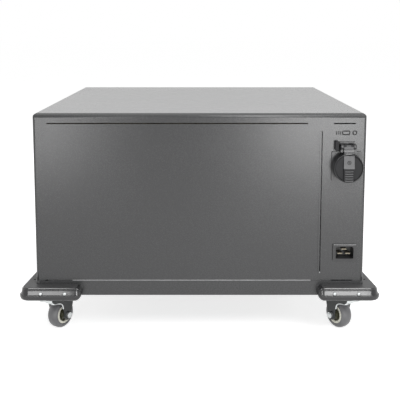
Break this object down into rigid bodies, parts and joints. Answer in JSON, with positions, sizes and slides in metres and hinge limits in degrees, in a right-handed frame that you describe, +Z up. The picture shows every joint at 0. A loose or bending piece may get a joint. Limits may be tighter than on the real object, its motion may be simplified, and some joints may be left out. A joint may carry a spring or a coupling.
{
  "type": "filament dryer box",
  "caption": "Low sheet-metal filament dryer box on swivel casters with corner bumpers, a hinged door, a lidded mains outlet and an appliance inlet.",
  "frame": {"origin": "on the floor, under the middle of the box", "axes": "+Z up, -Y towards the service side with the mains sockets, +Y towards the door, -X to the left seen from the service side"},
  "size_m": [0.602, 0.602, 0.38],
  "materials": {
    "cabinet_sheet": "satin powder coat",
    "zinc_sheet": "satin",
    "foam": "matte foam",
    "bumper_plastic": "semi-gloss",
    "zinc_hardware": "bright zinc",
    "fork_steel": "dark zinc",
    "hub_plastic": "satin",
    "tread_rubber": "matte",
    "seal_rubber": "matte",
    "black_plastic": "satin",
    "magnet_black": "matte",
    "contact_brass": "nickel-plated",
    "spring_steel": "bright",
    "black_screw": "black oxide",
    "rod_aluminium": "turned",
    "supply_case": "satin",
    "circuit_board": "lacquered",
    "display_glass": "gloss"
  },
  "bodies": {
    "cabinet": {"base_tray": "cabinet_sheet", "top_cover": "cabinet_sheet", "rear_panel": "cabinet_sheet", "socket_panel": "cabinet_sheet", "side_panel_left": "cabinet_sheet", "side_panel_right": "cabinet_sheet", "door_frame": "cabinet_sheet", "control_panel": "cabinet_sheet", "bay_wall": "zinc_sheet", "chamber_liner": "zinc_sheet", "insulation": "foam", "bumpers_rear": "bumper_plastic", "bumpers_front": "bumper_plastic", "corner_screws": "zinc_hardware", "caster_plates": "zinc_hardware", "hinge_pins": "zinc_hardware", "door_magnets": "magnet_black", "outlet_body": "black_plastic", "outlet_contacts": "contact_brass", "lid_pin": "zinc_hardware", "lid_spring": "spring_steel", "panel_screws": "black_screw", "inlet_body": "black_plastic", "inlet_blades": "contact_brass", "rod_cradles": "black_plastic", "duct_cover": "zinc_sheet", "fan_frame": "black_plastic", "heater_block": "rod_aluminium", "power_supply": "supply_case", "controller_board": "circuit_board", "display_window": "display_glass", "switch_housing": "black_plastic"},
    "door": {"door_skin": "cabinet_sheet", "door_core": "foam", "door_liner": "zinc_sheet", "door_seal": "seal_rubber", "door_handle": "black_plastic"},
    "socket_lid": {"outlet_lid": "black_plastic"},
    "rod_rear": {"spool_rod_rear": "rod_aluminium"},
    "rod_front": {"spool_rod_front": "rod_aluminium"},
    "fan": {"fan_rotor": "black_plastic"},
    "knob": {"encoder_knob": "black_plastic"},
    "rocker": {"power_rocker": "black_plastic"},
    "swivel_rear_left": {"fork_rear_left": "fork_steel", "axle_rear_left": "zinc_hardware"},
    "wheel_rear_left": {"hub_rear_left": "hub_plastic", "tyre_rear_left": "tread_rubber"},
    "swivel_rear_right": {"fork_rear_right": "fork_steel", "axle_rear_right": "zinc_hardware"},
    "wheel_rear_right": {"hub_rear_right": "hub_plastic", "tyre_rear_right": "tread_rubber"},
    "swivel_front_left": {"fork_front_left": "fork_steel", "axle_front_left": "zinc_hardware"},
    "wheel_front_left": {"hub_front_left": "hub_plastic", "tyre_front_left": "tread_rubber"},
    "swivel_front_right": {"fork_front_right": "fork_steel", "axle_front_right": "zinc_hardware"},
    "wheel_front_right": {"hub_front_right": "hub_plastic", "tyre_front_right": "tread_rubber"}
  },
  "joints": [
    {"name": "door_hinge", "type": "hinge", "parent": "cabinet", "child": "door", "pos_m": [-0.268, 0.259, 0.23], "axis": [0, 0, 1], "range_deg": [0, 110]},
    {"name": "lid_hinge", "type": "hinge", "parent": "cabinet", "child": "socket_lid", "pos_m": [0.243, -0.2885, 0.326], "axis": [-1, 0, 0], "range_deg": [0, 100]},
    {"name": "swivel_rear_left", "type": "hinge", "parent": "cabinet", "child": "swivel_rear_left", "pos_m": [-0.254, -0.254, 0.06], "axis": [0, 0, 1], "continuous": true},
    {"name": "wheel_rear_left", "type": "hinge", "parent": "swivel_rear_left", "child": "wheel_rear_left", "pos_m": [-0.24311, -0.23723, 0.025], "axis": [-0.8387, 0.5446, 0], "continuous": true},
    {"name": "swivel_rear_right", "type": "hinge", "parent": "cabinet", "child": "swivel_rear_right", "pos_m": [0.254, -0.254, 0.06], "axis": [0, 0, 1], "continuous": true},
    {"name": "wheel_rear_right", "type": "hinge", "parent": "swivel_rear_right", "child": "wheel_rear_right", "pos_m": [0.24311, -0.23723, 0.025], "axis": [-0.8387, -0.5446, 0], "continuous": true},
    {"name": "swivel_front_left", "type": "hinge", "parent": "cabinet", "child": "swivel_front_left", "pos_m": [-0.254, 0.254, 0.06], "axis": [0, 0, 1], "continuous": true},
    {"name": "wheel_front_left", "type": "hinge", "parent": "swivel_front_left", "child": "wheel_front_left", "pos_m": [-0.244, 0.23668, 0.025], "axis": [0.866, 0.5, 0], "continuous": true},
    {"name": "swivel_front_right", "type": "hinge", "parent": "cabinet", "child": "swivel_front_right", "pos_m": [0.254, 0.254, 0.06], "axis": [0, 0, 1], "continuous": true},
    {"name": "wheel_front_right", "type": "hinge", "parent": "swivel_front_right", "child": "wheel_front_right", "pos_m": [0.23762, 0.24253, 0.025], "axis": [0.5736, -0.8192, 0], "continuous": true},
    {"name": "rod_rear_spin", "type": "hinge", "parent": "cabinet", "child": "rod_rear", "pos_m": [-0.05725, -0.115, 0.229], "axis": [1, 0, 0], "continuous": true},
    {"name": "rod_front_spin", "type": "hinge", "parent": "cabinet", "child": "rod_front", "pos_m": [-0.05725, 0.105, 0.229], "axis": [1, 0, 0], "continuous": true},
    {"name": "fan_spin", "type": "hinge", "parent": "cabinet", "child": "fan", "pos_m": [0.16, -0.005, 0.207], "axis": [1, 0, 0], "continuous": true},
    {"name": "knob_turn", "type": "hinge", "parent": "cabinet", "child": "knob", "pos_m": [0.239, 0.285, 0.264], "axis": [0, 1, 0], "continuous": true},
    {"name": "rocker_tilt", "type": "hinge", "parent": "cabinet", "child": "rocker", "pos_m": [0.239, 0.272, 0.158], "axis": [-1, 0, 0], "range_deg": [0, 16]}
  ]
}
